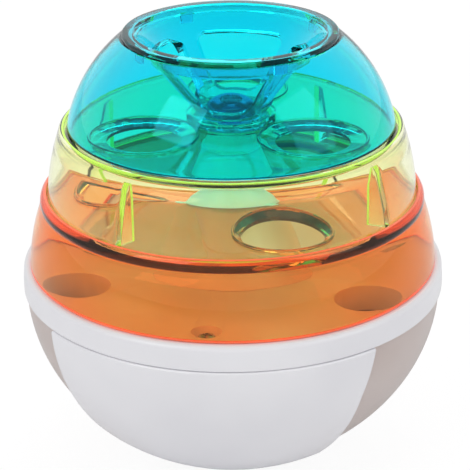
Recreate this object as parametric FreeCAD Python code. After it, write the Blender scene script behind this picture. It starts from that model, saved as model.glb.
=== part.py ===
import FreeCAD, Part
import math
import os

# Treat dispenser: three clear tiers on a white weighted bowl, with a push button in the funnel.
# Millimetres. The axis of every tier is Z, and the origin is at the centre of the flat foot.
# Azimuths are measured from the front, which is -Y, towards +X.

# Fits and clearances
run_fit = 0.08
slide_fit = 0.25
body_gap = 0.3
seat_gap = 0.05

# Bowl
bowl_r = 73.6
bowl_depth = 66.4
bowl_centre_z = 64.5
bowl_wall = 1.2
bowl_floor = 2.0
bowl_top_z = 64.0
window_az = 82.0
window_half_deg = 43.4
window_low_z = 8.6
window_widen = 5.0
parting_chamfer = 0.4
foot_r = 17.5
foot_width = 5.0
foot_height = 0.8
foot_groove = 0.8

# Band on top of the bowl
band_r = 72.9
band_top_z = 72.7
band_wall = 3.8
band_round = 1.6
ledge_width = 3.0
ledge_height = 4.0

# Deck of the base, with its three treat chutes and three screw wells
deck_thick = 2.0
deck_sink = 0.3
chute_az = 52.0
chute_count = 3
chute_pitch = 55.5
chute_r = 11.0
chute_wall = 1.1
well_az = -8.2
well_count = 3
well_pitch = 59.4
well_r = 4.9
well_depth = 3.2
well_wall = 1.2
screw_head_r = 3.1
screw_head_h = 2.2
screw_shank_r = 1.4
screw_shank_l = 3.5
screw_recess = 1.2
screw_hole_gap = 0.1
well_rib_half_deg = 5.5

# Weight in the bowl
ballast_foot_r = 19.0
ballast_waist_r = 22.5
ballast_waist_up = 4.2
ballast_r = 31.0
ballast_rim_up = 8.2
ballast_h = 12.2
ballast_hole_r = 4.0
cap_r = 34.0
cap_thick = 2.0
cap_lift = 0.6
boss_pitch = 20.5
boss_r = 3.2
boss_count = 3
boss_az = 60.0
cap_screw_shank_l = 8.0

# Spindle that carries the tiers
spindle_r = 5.0
spindle_flange_r = 13.0
spindle_flange_h = 2.0
spindle_screw_pitch = 9.5
spindle_screw_count = 3
spindle_screw_head_r = 2.4
spindle_bore_r = 1.75
spring_bore_r = 3.5
spring_bore_floor_z = 106.0
spindle_above_deck = 2.2
nut_r = 6.4
nut_h = 1.8
nut_notches = 6
nut_notch_r = 0.7

# Outlet drum inside the bowl, turned by the cam sleeve
drum_wall = 1.8
drum_turn_deg = 36.0
drum_washer_h = 1.0
drum_washer_ease = 1.2
drum_hub_r = 11.0
drum_hub_top = 14.0
drum_floor_thick = 2.0
drum_floor_edge_r = 44.0
drum_skirt_z = 8.2
drum_inset = 1.0
port_az = 20.0
port_half_deg = 11.0
port_low = 6.0
port_high = 27.0
sleeve_wall = 3.4
sleeve_h = 26.0
cam_pin_r = 1.0
cam_pin_below_top = 4.0

# Orange tier
orange_foot_r = 70.4
orange_shoulder_r = 65.6
orange_bulge = 0.8
orange_inner_bulge = 0.5
orange_shoulder_up = 21.5
orange_height = 25.8
orange_deck_up = 23.3
orange_wall = 2.0
orange_lip = 1.5
tier_ledge = 3.0
tier_ledge_thick = 1.2
tier_ledge_slope = 0.6
plate_thick = 2.0
orange_hole_az = 25.0
orange_hole_pitch = 38.0
orange_hole_r = 13.5
rim_width = 3.0
rim_height = 0.8
rim_band = 1.0

# Yellow tier
yellow_foot_r = 63.2
yellow_top_r = 58.5
yellow_bulge = 0.9
yellow_height = 24.9
yellow_wall = 2.0
yellow_hole_az = 56.0
yellow_hole_pitch = 32.0
yellow_hole_r = 12.3
dish_width = 6.0
dish_depth = 1.0
yellow_rib_az = -36.0
yellow_rib_thick = 2.0
yellow_rib_depth = 3.0
yellow_rib_drop = 2.5
shoulder_round = 1.6
collar_r = 15.2
collar_wall = 1.6
collar_h = 3.2
lug_count = 4
lug_reach = 1.6
lug_half_deg = 12.0
lug_thick = 1.2

# Cones round the spindle
deck_cone_foot_r = 27.0
deck_cone_top_r = 16.0
upper_cone_foot_r = 16.0
upper_cone_top_r = 6.9
cone_wall = 2.0
cone_step_up = 15.5
washer_h = 1.0
washer_r = 8.0
upper_washer_r = 7.1
bead_reach = 0.7
bead_half = 0.45
tab_az = -70.0
tab_spacing = 129.0
tab_reach = 3.2
tab_half_deg = 5.0
tab_h = 1.0

# Blue dome and funnel
dome_foot_r = 55.6
dome_top_r = 36.6
dome_height = 29.9
dome_bulge = 3.1
dome_wall = 1.9
dome_top_wall = 2.85
dome_socket_gap = 0.9
lip_r = 36.1
lip_inner_r = 31.5
lip_thick = 1.7
lip_edge = 0.5
funnel_wall = 1.8
funnel_foot_r = 10.5
funnel_tube_h = 3.4
flange_reach = 2.4
flange_thick = 1.3
window_top_drop = 8.6
window_foot_up = 3.0
strut_width = 4.5
strut_az = 36.0
funnel_window_round = 3.0
catch_half_deg = 4.0
catch_wall_gap = 1.2
catch_h = 3.0

# Push button
button_r = 8.2
button_dome_h = 2.6
button_skirt_h = 2.4
button_wall = 1.3
button_travel = 3.0
button_stem_r = 3.3
button_stem_drop = 8.0
rod_r = 1.5
rod_socket = 3.0
rod_below_pin = 3.0
spring_wire = 0.35
spring_mean_r = 2.75
spring_turns = 6

# Heights that follow from the sizes above
foot_z = foot_height
deck_top_z = band_top_z - deck_sink
deck_low_z = deck_top_z - deck_thick
ledge_low_z = deck_low_z - ledge_height
ballast_low_z = foot_z + bowl_floor
cap_low_z = ballast_low_z + ballast_h + cap_lift
cap_top_z = cap_low_z + cap_thick
flange_top_z = cap_top_z + spindle_flange_h
drum_low_z = flange_top_z + drum_washer_h + body_gap
drum_top_z = bowl_top_z - body_gap
drum_offset = bowl_wall + body_gap
chute_low_z = drum_top_z + body_gap
orange_low_z = band_top_z + body_gap
orange_top_z = orange_low_z + orange_height
orange_deck_top_z = orange_low_z + orange_deck_up
orange_deck_low_z = orange_deck_top_z - plate_thick
yellow_low_z = orange_deck_top_z + body_gap
rib_low_z = yellow_low_z + rim_height + body_gap
yellow_top_z = yellow_low_z + yellow_height
yellow_deck_low_z = yellow_top_z - plate_thick
dome_low_z = yellow_top_z + body_gap
dome_top_z = dome_low_z + dome_height
lip_top_z = dome_top_z + lip_thick
spindle_top_z = yellow_top_z + spindle_above_deck
sleeve_low_z = drum_low_z
sleeve_top_z = drum_low_z + sleeve_h
sleeve_r = spindle_r + run_fit + sleeve_wall
pin_z = sleeve_top_z - cam_pin_below_top
button_low_z = yellow_top_z + body_gap + button_travel
button_roof_z = button_low_z + button_skirt_h


def vec(x, y, z):
    return FreeCAD.Vector(x, y, z)


def place(azimuth, radius, z):
    a = math.radians(azimuth)
    return vec(radius * math.sin(a), -radius * math.cos(a), z)


def bowl_radius(offset, z, inset=0.0):
    """Radius at height z of the bowl's curve, moved in by offset, and by inset more at the bottom."""
    share = (z - bowl_centre_z) / (bowl_depth - offset - inset)
    return (bowl_r - offset) * math.sqrt(1 - share ** 2)


def bowl_edge(offset, low, high, inset=0.0):
    """Arc of the same ellipse between two heights, in the XZ plane."""
    depth = bowl_depth - offset - inset
    ellipse = Part.Ellipse(vec(bowl_r - offset, 0, bowl_centre_z), vec(0, 0, bowl_centre_z + depth),
                           vec(0, 0, bowl_centre_z))
    angles = sorted(math.asin((z - bowl_centre_z) / depth) for z in (low, high))
    return Part.ArcOfEllipse(ellipse, angles[0], angles[1]).toShape()


def turned(outline):
    """Solid of revolution. A point is (r, z), and ("arc", r, z) is passed on the way to the next one.

    ("bowl", offset, inset) follows the bowl's curve to the next point.
    """
    edges = []
    via = None
    curve = None
    points = outline + [outline[0]]
    last = points[0]
    for point in points[1:]:
        if point[0] == "arc":
            via = vec(point[1], 0, point[2])
            continue
        if point[0] == "bowl":
            curve = point[1:]
            continue
        start = vec(last[0], 0, last[1])
        end = vec(point[0], 0, point[1])
        if curve is not None:
            edges.append(bowl_edge(curve[0], last[1], point[1], curve[1]))
            curve = None
        elif via is None:
            edges.append(Part.LineSegment(start, end).toShape())
        else:
            edges.append(Part.Arc(start, via, end).toShape())
        via = None
        last = point
    face = Part.Face(Part.Wire(edges))
    return face.revolve(vec(0, 0, 0), vec(0, 0, 1), 360)


def tube(outer, inner, low, high):
    body = Part.makeCylinder(outer, high - low, vec(0, 0, low))
    if inner > 0:
        body = body.cut(Part.makeCylinder(inner, high - low + 2, vec(0, 0, low - 1)))
    return body


def post(azimuth, pitch, radius, low, high):
    return Part.makeCylinder(radius, high - low, place(azimuth, pitch, low))


def sector(azimuth, half_deg, inner, outer, low, high):
    """Part of a ring between two azimuths."""
    start = azimuth - half_deg - 90
    wedge = Part.makeCylinder(outer, high - low, vec(0, 0, low), vec(0, 0, 1), 2 * half_deg)
    wedge.rotate(vec(0, 0, 0), vec(0, 0, 1), start)
    if inner > 0:
        wedge = wedge.cut(Part.makeCylinder(inner, high - low + 2, vec(0, 0, low - 1)))
    return wedge


def joined(shapes):
    body = shapes[0]
    if len(shapes) > 1:
        body = body.multiFuse(shapes[1:])
    return body.removeSplitter()


def arc_through(start, end, bulge):
    """Middle point of an arc between two (r, z) points that stands out from its chord by bulge."""
    dr = end[0] - start[0]
    dz = end[1] - start[1]
    length = math.hypot(dr, dz)
    side = 1 if dz > 0 else -1
    return ("arc", (start[0] + end[0]) / 2 + side * bulge * dz / length,
            (start[1] + end[1]) / 2 - side * bulge * dr / length)


def well_azimuths():
    return [well_az + 360 / well_count * n for n in range(well_count)]


def chute_azimuths():
    return [chute_az + 360 / chute_count * n for n in range(chute_count)]


def screw_set(azimuths, pitch, seat_z, head_r, head_h, shank_r, shank_l, recess):
    """Round-headed screws with a cross recess, whose heads stand on seat_z."""
    screws = []
    for azimuth in azimuths:
        head = post(azimuth, pitch, head_r, seat_z, seat_z + head_h)
        shank = post(azimuth, pitch, shank_r, seat_z - shank_l, seat_z)
        screw = head.fuse(shank)
        centre = place(azimuth, pitch, seat_z + head_h - recess)
        for turn in (0, 90):
            slot = Part.makeBox(head_r * 1.2, head_r * 0.3, recess + 1,
                                centre - vec(head_r * 0.6, head_r * 0.15, 0))
            slot.rotate(centre, vec(0, 0, 1), azimuth + turn)
            screw = screw.cut(slot)
        screws.append(screw.removeSplitter())
    return Part.makeCompound(screws)


# Base

def base_bowl():
    low_r = bowl_radius(0, foot_z)
    floor_z = foot_z + bowl_floor
    edge_z = bowl_top_z - parting_chamfer
    shell = turned([
        (0, foot_z), (low_r, foot_z), ("bowl", 0, 0), (bowl_radius(0, edge_z), edge_z),
        (bowl_r - parting_chamfer, bowl_top_z), (bowl_radius(bowl_wall, bowl_top_z), bowl_top_z),
        ("bowl", bowl_wall, 0), (bowl_radius(bowl_wall, floor_z), floor_z), (0, floor_z)])
    groove = tube(foot_r + seat_gap, foot_r - foot_width - seat_gap, foot_z - 1, foot_z + foot_groove)
    shell = shell.cut(groove)
    for side in (0, 180):
        shell = shell.cut(bowl_window(window_az + side))
    bosses = []
    for n in range(boss_count):
        azimuth = 360 / boss_count * n + boss_az
        boss = post(azimuth, boss_pitch, boss_r, floor_z - bowl_floor / 2, cap_low_z)
        boss = boss.cut(post(azimuth, boss_pitch, screw_shank_r, floor_z + 1, cap_low_z + 1))
        bosses.append(boss)
    inside = turned([(0, foot_z), (low_r, foot_z), ("bowl", 0, 0), (bowl_radius(0, edge_z), edge_z),
                     (0, edge_z)])
    bosses = [boss.common(inside) for boss in bosses]
    return joined([shell] + bosses)


def bowl_window(azimuth):
    """Opening in the side of the bowl: straight top edge, sides that open a little downwards."""
    reach = bowl_r + 5
    high = bowl_top_z + 1
    top = math.radians(window_half_deg)
    low = math.radians(window_half_deg + window_widen)
    wires = []
    for z, half in ((window_low_z, low), (high, top)):
        points = [vec(0, 0, z),
                  vec(reach * math.tan(half), -reach, z),
                  vec(-reach * math.tan(half), -reach, z),
                  vec(0, 0, z)]
        wires.append(Part.makePolygon(points))
    block = Part.makeLoft(wires, True, True)
    core = Part.makeCylinder(bowl_radius(bowl_wall, window_low_z) - 4, high - window_low_z + 2,
                             vec(0, 0, window_low_z - 1))
    block = block.cut(core)
    block.rotate(vec(0, 0, 0), vec(0, 0, 1), azimuth)
    return block


def foot_ring():
    ring = tube(foot_r, foot_r - foot_width, 0, foot_z + foot_groove - seat_gap)
    edges = [edge for edge in ring.Edges if abs(edge.BoundBox.ZMin) < 0.01 and edge.BoundBox.ZLength < 0.01]
    return ring.makeFillet(foot_height * 0.4, edges)


def ballast_weight():
    low = ballast_low_z
    high = low + ballast_h
    weight = turned([
        (ballast_hole_r, low), (ballast_foot_r, low), (ballast_waist_r, low + ballast_waist_up),
        (ballast_r, low + ballast_rim_up), (ballast_r, high - 1), (ballast_r - 1, high),
        (ballast_hole_r, high)])
    for n in range(boss_count):
        weight = weight.cut(post(360 / boss_count * n + boss_az, boss_pitch, boss_r + slide_fit,
                                 low - 1, high + 1))
    return weight


def ballast_cap():
    cap = tube(cap_r, 0, cap_low_z, cap_top_z)
    for n in range(boss_count):
        cap = cap.cut(post(360 / boss_count * n + boss_az, boss_pitch, screw_shank_r + screw_hole_gap,
                           cap_low_z - 1, cap_top_z + 1))
    for n in range(spindle_screw_count):
        cap = cap.cut(post(360 / spindle_screw_count * n, spindle_screw_pitch, screw_shank_r,
                           cap_low_z - 1, cap_top_z + 1))
    rim = tube(ballast_r + 2, ballast_r, cap_low_z - cap_lift, cap_low_z)
    return joined([cap, rim])


def cap_screws():
    azimuths = [360 / boss_count * n + boss_az for n in range(boss_count)]
    return screw_set(azimuths, boss_pitch, cap_top_z, screw_head_r, screw_head_h,
                     screw_shank_r, cap_screw_shank_l, screw_recess)


def spindle():
    body = turned([
        (0, cap_top_z), (spindle_flange_r, cap_top_z), (spindle_flange_r, flange_top_z),
        (spindle_r + 1, flange_top_z), (spindle_r, flange_top_z + 0.9),
        (spindle_r, spindle_top_z - 0.6), (spindle_r - 0.6, spindle_top_z), (0, spindle_top_z)])
    body = body.cut(Part.makeCylinder(spindle_bore_r, spindle_top_z, vec(0, 0, flange_top_z)))
    body = body.cut(Part.makeCylinder(spring_bore_r, spindle_top_z, vec(0, 0, spring_bore_floor_z)))
    for n in range(spindle_screw_count):
        body = body.cut(post(360 / spindle_screw_count * n, spindle_screw_pitch, screw_shank_r + screw_hole_gap,
                             cap_top_z - 1, flange_top_z + 1))
    slot_w = 2 * (cam_pin_r + slide_fit)
    slot_low = pin_z - button_travel - cam_pin_r - slide_fit
    slot_high = pin_z + cam_pin_r + slide_fit
    slot = Part.makeBox(2 * spindle_r + 2, slot_w, slot_high - slot_low,
                        vec(-spindle_r - 1, -slot_w / 2, slot_low))
    return body.cut(slot).removeSplitter()


def spindle_screws():
    azimuths = [360 / spindle_screw_count * n for n in range(spindle_screw_count)]
    head_h = drum_washer_h
    return screw_set(azimuths, spindle_screw_pitch, flange_top_z, spindle_screw_head_r, head_h,
                     screw_shank_r, spindle_flange_h + cap_thick, head_h / 2)


def spindle_nut():
    nut = tube(nut_r, spindle_r, yellow_top_z + body_gap, yellow_top_z + body_gap + nut_h)
    for n in range(nut_notches):
        nut = nut.cut(post(360 / nut_notches * n, nut_r + slide_fit, nut_notch_r,
                           yellow_top_z, spindle_top_z + 1))
    return nut


def base_band():
    inner = band_r - band_wall
    band = turned([
        (inner - ledge_width, ledge_low_z), (inner, ledge_low_z - ledge_width * 0.6),
        (inner, bowl_top_z), (band_r - parting_chamfer, bowl_top_z),
        (band_r + 0.1, bowl_top_z + parting_chamfer),
        ("arc", band_r + 0.15, (bowl_top_z + band_top_z) / 2),
        (band_r - 0.4, band_top_z - band_round),
        ("arc", band_r - 0.4 - band_round * 0.3, band_top_z - band_round * 0.3),
        (band_r - 0.4 - band_round, band_top_z), (inner, band_top_z), (inner, deck_low_z),
        (inner - ledge_width, deck_low_z)])
    lugs = []
    for azimuth in well_azimuths():
        lug = post(azimuth, well_pitch, well_r + well_wall, ledge_low_z, deck_low_z)
        reach = sector(azimuth, well_rib_half_deg, well_pitch, inner - 0.5, ledge_low_z, deck_low_z)
        lug = lug.fuse(reach).common(Part.makeCylinder(inner, deck_top_z))
        lugs.append(lug)
    band = joined([band] + lugs)
    well_low = deck_top_z - well_depth
    for azimuth in well_azimuths():
        band = band.cut(post(azimuth, well_pitch, well_r + seat_gap, well_low - well_wall, deck_low_z + 1))
        band = band.cut(post(azimuth, well_pitch, screw_shank_r, ledge_low_z - 1, deck_low_z + 1))
    for azimuth in chute_azimuths():
        band = band.cut(post(azimuth, chute_pitch, chute_r + chute_wall + seat_gap,
                             chute_low_z - 1, deck_low_z + 1))
    return band.removeSplitter()


def base_deck():
    radius = band_r - band_wall - seat_gap
    deck = tube(radius, spindle_r + slide_fit, deck_low_z, deck_top_z)
    well_low = deck_top_z - well_depth
    cups = [post(azimuth, well_pitch, well_r, well_low - well_wall, deck_top_z) for azimuth in well_azimuths()]
    chutes = [post(azimuth, chute_pitch, chute_r + chute_wall, chute_low_z, deck_top_z)
              for azimuth in chute_azimuths()]
    deck = joined([deck] + cups + chutes)
    for azimuth in well_azimuths():
        deck = deck.cut(post(azimuth, well_pitch, well_r - well_wall, well_low, deck_top_z + 1))
        deck = deck.cut(post(azimuth, well_pitch, screw_shank_r + screw_hole_gap, ledge_low_z, deck_top_z + 1))
    for azimuth in chute_azimuths():
        deck = deck.cut(post(azimuth, chute_pitch, chute_r, chute_low_z - 1, deck_top_z + 1))
    return deck.removeSplitter()


def deck_screws():
    return screw_set(well_azimuths(), well_pitch, deck_top_z - well_depth, screw_head_r,
                     screw_head_h, screw_shank_r, screw_shank_l, screw_recess)


def cone_shell(foot_r, top_r, low, high, bore):
    """Hollow cone that closes on the spindle at its top."""
    slope = (foot_r - top_r) / (high - low)
    roof = high - cone_wall
    return turned([
        (foot_r, low), (top_r, high), (bore, high), (bore, roof),
        (top_r + slope * cone_wall - cone_wall, roof), (foot_r - cone_wall, low)])


def deck_cone():
    return cone_shell(deck_cone_foot_r, deck_cone_top_r, deck_top_z,
                      orange_deck_low_z - body_gap - washer_h, spindle_r + slide_fit)


def lower_washer():
    high = orange_deck_low_z - body_gap
    return tube(washer_r, spindle_r + slide_fit, high - washer_h, high)


# Outlet drum

def outlet_drum():
    outer = drum_offset
    inner = drum_offset + drum_wall
    hub_high = drum_low_z + drum_hub_top
    rim_z = drum_low_z + drum_floor_thick

    def out_r(z):
        return bowl_radius(outer, z, drum_inset)

    def in_r(z):
        return bowl_radius(inner, z, drum_inset)

    bowl = turned([
        (in_r(drum_skirt_z), drum_skirt_z), (out_r(drum_skirt_z), drum_skirt_z), ("bowl", outer, drum_inset),
        (out_r(drum_top_z), drum_top_z), (in_r(drum_top_z), drum_top_z), ("bowl", inner, drum_inset),
        (in_r(rim_z), rim_z), (drum_floor_edge_r, rim_z), (drum_hub_r, hub_high),
        (sleeve_r, hub_high), (sleeve_r, drum_low_z), (drum_hub_r, drum_low_z),
        (drum_hub_r, hub_high - 1.5 * drum_floor_thick), (drum_floor_edge_r - 2, drum_low_z),
        (in_r(drum_low_z), drum_low_z), ("bowl", inner, drum_inset)])
    for side in (0, 180):
        port = sector(port_az + side, port_half_deg, drum_floor_edge_r - 2, bowl_r,
                      drum_low_z + port_low, drum_low_z + port_high)
        bowl = bowl.cut(port)
    return bowl.removeSplitter()


def cam_sleeve():
    sleeve = tube(sleeve_r, spindle_r + run_fit, sleeve_low_z, sleeve_top_z)
    steps = 18
    cutters = []
    for n in range(-1, steps + 2):
        share = n / steps
        for side in (90, 270):
            centre = place(side - drum_turn_deg * share, 0, pin_z - button_travel * share)
            direction = place(side - drum_turn_deg * share, 1, 0)
            cutters.append(Part.makeCylinder(cam_pin_r + slide_fit, sleeve_r + 2, centre, direction))
    return sleeve.cut(cutters[0].multiFuse(cutters[1:]))


def drum_washer():
    washer = tube(spindle_flange_r, spindle_r + run_fit + drum_washer_ease,
                  flange_top_z, flange_top_z + drum_washer_h)
    for n in range(spindle_screw_count):
        washer = washer.cut(post(360 / spindle_screw_count * n, spindle_screw_pitch,
                                 spindle_screw_head_r + slide_fit,
                                 flange_top_z - 1, flange_top_z + drum_washer_h + 1))
    return washer


# Orange tier

def orange_outline():
    return [(orange_foot_r, orange_low_z),
            (orange_shoulder_r, orange_low_z + orange_shoulder_up),
            (yellow_foot_r + body_gap + orange_lip, orange_top_z)]


def orange_ring():
    foot, shoulder, top = orange_outline()
    bore = yellow_foot_r + body_gap
    seat_low = orange_deck_low_z
    inner_top = (bore - tier_ledge_slope, seat_low - tier_ledge_thick - tier_ledge)
    inner_foot = (foot[0] - orange_wall, foot[1])
    return turned([
        foot, arc_through(foot, shoulder, orange_bulge), shoulder,
        ("arc", shoulder[0] - 0.25, shoulder[1] + 2.2), (top[0] - 0.1, top[1] - 0.8),
        (top[0] - 0.9, top[1]), (bore, top[1]), (bore, seat_low),
        (bore - tier_ledge, seat_low), (bore - tier_ledge, seat_low - tier_ledge_thick), inner_top,
        arc_through(inner_top, inner_foot, orange_inner_bulge), inner_foot])


def dished_hole(azimuth, pitch, radius, width, depth, top_z):
    """Cutter for a round hole whose edge slopes in from the plate's top."""
    hole = post(azimuth, pitch, radius, top_z - plate_thick - 1, top_z + 2)
    dish = Part.makeCone(radius, radius + width, depth, place(azimuth, pitch, top_z - depth))
    over = post(azimuth, pitch, radius + width, top_z, top_z + 2)
    return hole.fuse(dish).fuse(over)


def tier_plate(radius, low, top, hole_az, pitch, hole_r, width, depth):
    plate = tube(radius, spindle_r + run_fit, low, top)
    rims = []
    for n in range(3):
        azimuth = hole_az + 120 * n
        rim = post(azimuth, pitch, hole_r + width + rim_band, top - 0.5, top + rim_height)
        rims.append(rim.cut(post(azimuth, pitch, hole_r + width, top - 1, top + rim_height + 1)))
    plate = joined([plate] + rims)
    for n in range(3):
        plate = plate.cut(dished_hole(hole_az + 120 * n, pitch, hole_r, width, depth, top))
    return plate.removeSplitter()


def orange_deck():
    return tier_plate(yellow_foot_r + body_gap - seat_gap, orange_deck_low_z, orange_deck_top_z,
                      orange_hole_az, orange_hole_pitch, orange_hole_r, rim_width - rim_band, dish_depth)


def upper_cone():
    low = orange_deck_top_z
    high = yellow_deck_low_z - body_gap - washer_h
    cone = cone_shell(upper_cone_foot_r, upper_cone_top_r, low, high, spindle_r + slide_fit)
    bead_z = low + cone_step_up
    bead_r = upper_cone_foot_r + (upper_cone_top_r - upper_cone_foot_r) * cone_step_up / (high - low)
    root = cone_wall * 0.6
    bead = turned([(bead_r - root, bead_z - bead_half), (bead_r + bead_reach, bead_z - bead_half),
                   (bead_r + bead_reach, bead_z + bead_half), (bead_r - root, bead_z + bead_half)])
    tabs = [sector(tab_az + tab_spacing * n, tab_half_deg, upper_cone_foot_r - root,
                   upper_cone_foot_r + tab_reach, low, low + tab_h) for n in (0, 1)]
    return joined([cone, bead] + tabs)


def upper_washer():
    high = yellow_deck_low_z - body_gap
    return tube(upper_washer_r, spindle_r + slide_fit, high - washer_h, high)


# Yellow tier

def yellow_ring():
    foot = (yellow_foot_r, yellow_low_z)
    shoulder = (yellow_top_r, yellow_top_z - shoulder_round)
    seat_r = dome_foot_r + dome_socket_gap
    seat_z = yellow_deck_low_z
    wall_in = yellow_foot_r - yellow_wall
    ring = turned([
        (wall_in, foot[1]), foot, arc_through(foot, shoulder, yellow_bulge), shoulder,
        ("arc", yellow_top_r - shoulder_round * 0.3, yellow_top_z - shoulder_round * 0.3),
        (yellow_top_r - shoulder_round, yellow_top_z), (seat_r, yellow_top_z), (seat_r, seat_z),
        (seat_r - tier_ledge, seat_z), (seat_r - tier_ledge, seat_z - tier_ledge_thick),
        (yellow_top_r - yellow_wall, seat_z - tier_ledge_thick - tier_ledge)])
    ribs = []
    for n in range(4):
        rib = Part.makeBox(yellow_rib_thick, yellow_foot_r - yellow_top_r + yellow_wall + yellow_rib_depth,
                           yellow_deck_low_z - yellow_rib_drop - rib_low_z,
                           vec(-yellow_rib_thick / 2, -yellow_foot_r, rib_low_z))
        rib.rotate(vec(0, 0, 0), vec(0, 0, 1), yellow_rib_az + 90 * n)
        ribs.append(rib)
    outer = turned([(yellow_top_r - yellow_wall - yellow_rib_depth, foot[1]), foot,
                    arc_through(foot, shoulder, yellow_bulge), shoulder,
                    (yellow_top_r - yellow_wall - yellow_rib_depth, shoulder[1])])
    ribs = [rib.common(outer) for rib in ribs]
    return joined([ring] + ribs)


def yellow_deck():
    plate = tier_plate(dome_foot_r + dome_socket_gap - seat_gap, yellow_deck_low_z, yellow_top_z,
                       yellow_hole_az, yellow_hole_pitch, yellow_hole_r, dish_width - rim_band, dish_depth)
    for n in range(3):
        clear = post(yellow_hole_az + 120 * n, yellow_hole_pitch, yellow_hole_r + dish_width,
                     yellow_top_z + rim_height, yellow_top_z + collar_h + 1)
        plate = plate.cut(clear)
    collar = tube(collar_r, collar_r - collar_wall, yellow_top_z - 0.5, yellow_top_z + collar_h)
    lugs = []
    for n in range(lug_count):
        high = yellow_top_z + collar_h
        lugs.append(sector(strut_az + 45 + 90 * n, lug_half_deg, collar_r - collar_wall - lug_reach,
                           collar_r - collar_wall + 0.5, high - lug_thick, high))
    collar = joined([collar] + lugs)
    for n in range(3):
        azimuth = yellow_hole_az + 120 * n
        collar = collar.cut(post(azimuth, yellow_hole_pitch, yellow_hole_r + dish_width, yellow_top_z - 1,
                                 yellow_top_z + collar_h + 1))
    return joined([plate, collar])


# Blue dome

def dome_shell():
    foot = (dome_foot_r, dome_low_z)
    top = (dome_top_r, dome_top_z)
    foot_in = (dome_foot_r - dome_wall, dome_low_z)
    top_in = (dome_top_r - dome_top_wall, dome_top_z)
    return turned([foot, arc_through(foot, top, dome_bulge), top, top_in,
                   arc_through(top_in, foot_in, dome_bulge), foot_in])


def funnel_point(share):
    """Point on the funnel's inner surface, from its foot at 0 to its lip at 1."""
    low = dome_low_z + funnel_tube_h
    high = lip_top_z - lip_edge
    return (funnel_foot_r + (lip_inner_r - funnel_foot_r) * share, low + (high - low) * share)


def funnel():
    foot_low = dome_low_z
    tube_in = button_r + slide_fit
    flange_r = funnel_foot_r + flange_reach
    low = funnel_point(0)
    high = funnel_point(1)
    body = turned([
        (tube_in, foot_low), (flange_r, foot_low), (flange_r, foot_low + flange_thick),
        (funnel_foot_r, foot_low + flange_thick), (funnel_foot_r + 0.2, low[1] - 1.0),
        (high[0] + funnel_wall * 0.5, dome_top_z - funnel_wall),
        (dome_top_r - dome_top_wall - seat_gap, dome_top_z - funnel_wall),
        (dome_top_r - dome_top_wall - seat_gap, dome_top_z), (lip_r, dome_top_z),
        (lip_r, lip_top_z - lip_edge), (lip_r - lip_edge, lip_top_z), (high[0] + lip_edge, lip_top_z),
        high, (tube_in + 0.5, low[1]), (tube_in, low[1])])
    for n in range(4):
        body = body.cut(funnel_window(strut_az + 45 + 90 * n))
    catches = []
    for n in range(4):
        catches.append(sector(strut_az + 90 * n, catch_half_deg, lip_inner_r + catch_wall_gap,
                              dome_top_r - dome_top_wall - seat_gap,
                              dome_top_z - funnel_wall - catch_h, dome_top_z - funnel_wall + 0.2))
    return joined([body] + catches)


def funnel_window(azimuth):
    """Cutter for one window between two struts, with rounded corners."""
    low_z = funnel_point(0)[1] + window_foot_up
    high_z = lip_top_z - window_top_drop
    total = funnel_point(1)[1] - funnel_point(0)[1]
    half = []
    for z in (low_z, high_z):
        radius = funnel_point((z - funnel_point(0)[1]) / total)[0]
        half.append(radius * math.sin(math.radians(45)) - strut_width / 2)
    points = [vec(-half[0], 0, low_z), vec(half[0], 0, low_z),
              vec(half[1], 0, high_z), vec(-half[1], 0, high_z), vec(-half[0], 0, low_z)]
    face = Part.Face(Part.makePolygon(points))
    block = face.extrude(vec(0, -lip_r, 0))
    upright = []
    for edge in block.Edges:
        ends = edge.Vertexes[0].Point - edge.Vertexes[1].Point
        if abs(abs(ends.y) - lip_r) < 0.01:
            upright.append(edge)
    block = block.makeFillet(funnel_window_round, upright)
    block.rotate(vec(0, 0, 0), vec(0, 0, 1), azimuth)
    return block


# Button

def push_button():
    top = button_roof_z + button_dome_h
    inner = button_r - button_wall
    cap = turned([
        (0, top), ("arc", button_r * 0.62, button_roof_z + button_dome_h * 0.66), (button_r, button_roof_z),
        (button_r, button_low_z), (inner, button_low_z), (inner, button_roof_z - 0.4),
        (button_stem_r, button_roof_z + 0.4), (button_stem_r, spindle_top_z - button_stem_drop),
        (rod_r, spindle_top_z - button_stem_drop), (rod_r, spindle_top_z - button_stem_drop + rod_socket),
        (0, spindle_top_z - button_stem_drop + rod_socket)])
    return cap


def push_rod():
    low = pin_z - rod_below_pin
    high = spindle_top_z - button_stem_drop + rod_socket
    rod = tube(rod_r, 0, low, high)
    hole = Part.makeCylinder(cam_pin_r, 2 * rod_r + 2, vec(-rod_r - 1, 0, pin_z), vec(1, 0, 0))
    return rod.cut(hole)


def cam_pin():
    length = 2 * (sleeve_r - 0.2)
    return Part.makeCylinder(cam_pin_r, length, vec(-length / 2, 0, pin_z), vec(1, 0, 0))


def button_spring():
    """Compression spring between the spindle's shoulder and the button's stem."""
    low = spring_bore_floor_z + spring_wire + 0.1
    high = spindle_top_z - button_stem_drop - spring_wire - 0.1
    pitch = (high - low) / spring_turns
    least = pitch - 2 * spring_wire
    print("button spring: pitch %.2f, least gap between turns %.2f" % (pitch, least))

    def coil(share):
        a = 2 * math.pi * spring_turns * share
        return vec(spring_mean_r * math.cos(a), spring_mean_r * math.sin(a), low + (high - low) * share)

    quarters = 4 * spring_turns
    edges = []
    for n in range(quarters):
        arc = Part.Arc(coil(n / quarters), coil((n + 0.5) / quarters), coil((n + 1) / quarters))
        edges.append(arc.toShape())
    path = Part.Wire(edges)
    start = coil(0)
    direction = edges[0].tangentAt(edges[0].FirstParameter)
    profile = Part.Wire([Part.makeCircle(spring_wire, start, direction)])
    return path.makePipeShell([profile], True, False)


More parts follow.
